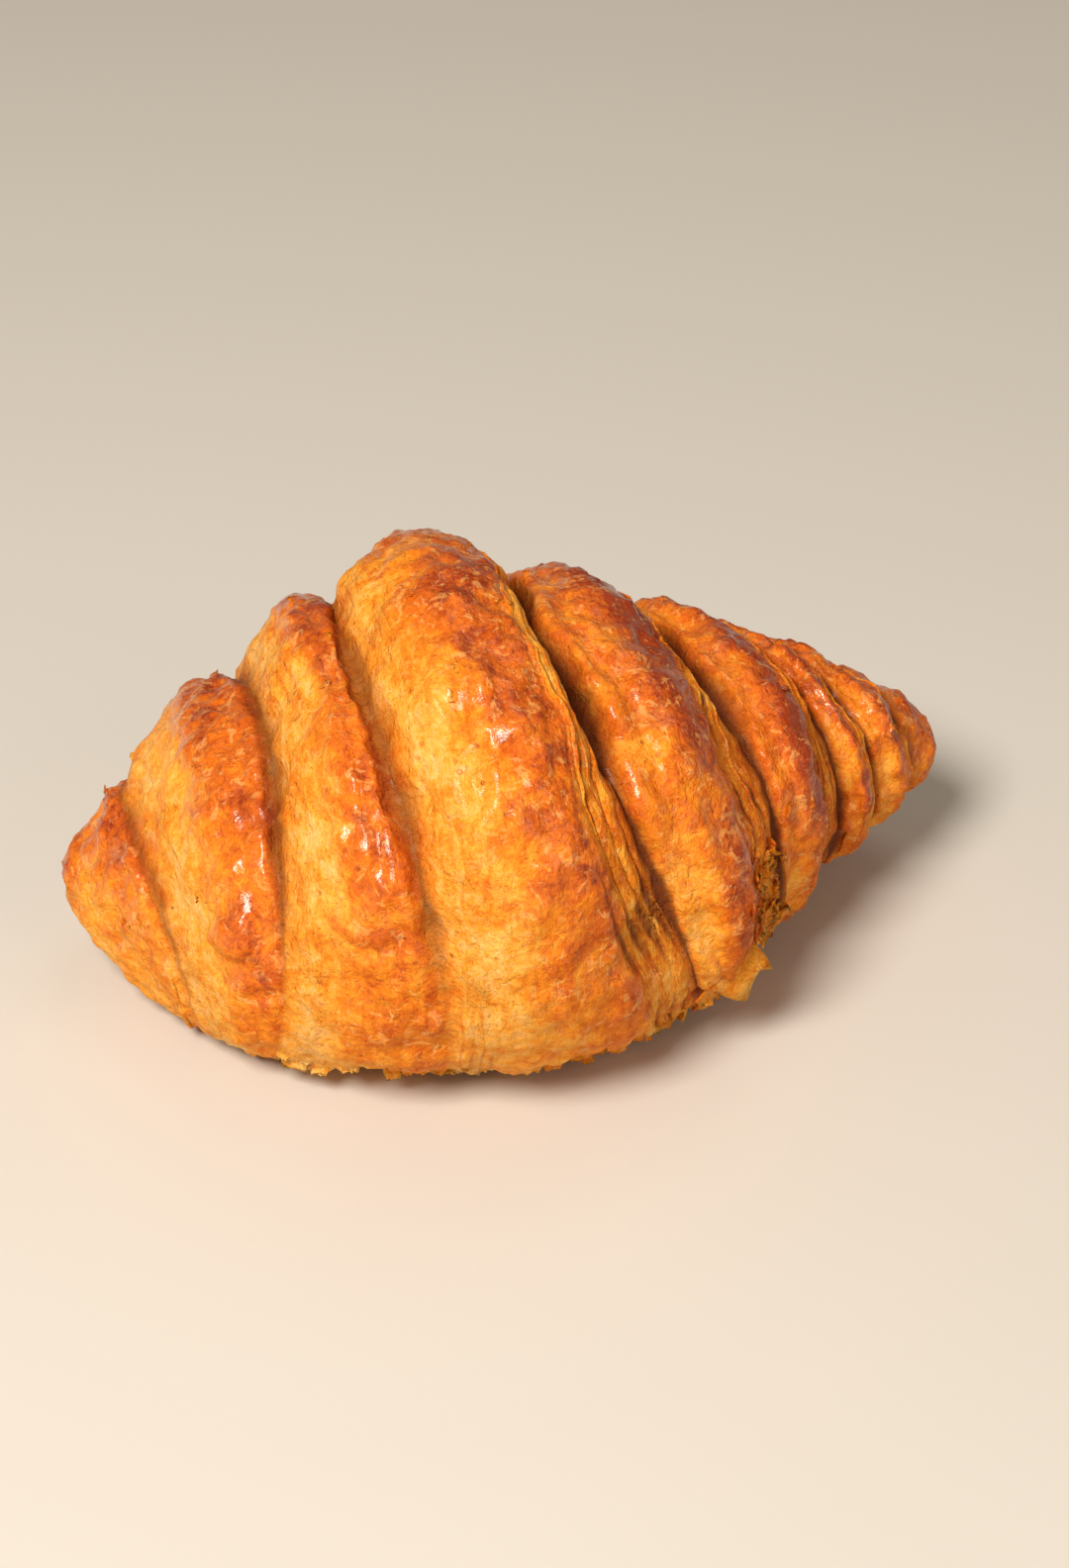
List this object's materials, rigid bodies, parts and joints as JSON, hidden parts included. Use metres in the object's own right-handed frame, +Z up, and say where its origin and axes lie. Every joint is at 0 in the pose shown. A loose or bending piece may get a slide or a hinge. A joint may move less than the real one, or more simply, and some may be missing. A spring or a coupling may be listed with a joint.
{
  "type": "croissant",
  "caption": "Baked butter croissant, rolled in tiers with bent-back tips, resting on its flat base.",
  "frame": {"origin": "centre of the bounding box in plan, at the surface the croissant rests on", "axes": "+X from the left tip to the right tip, +Y towards the hollow side that the tips bend to, +Z up"},
  "size_m": [0.1516, 0.0954, 0.0797],
  "materials": {
    "crust": "golden-brown egg-washed crust, semi-gloss on the crests, matte and pale on the cut edges of the layers"
  },
  "bodies": {
    "root": {"croissant": "crust"}
  },
  "joints": []
}
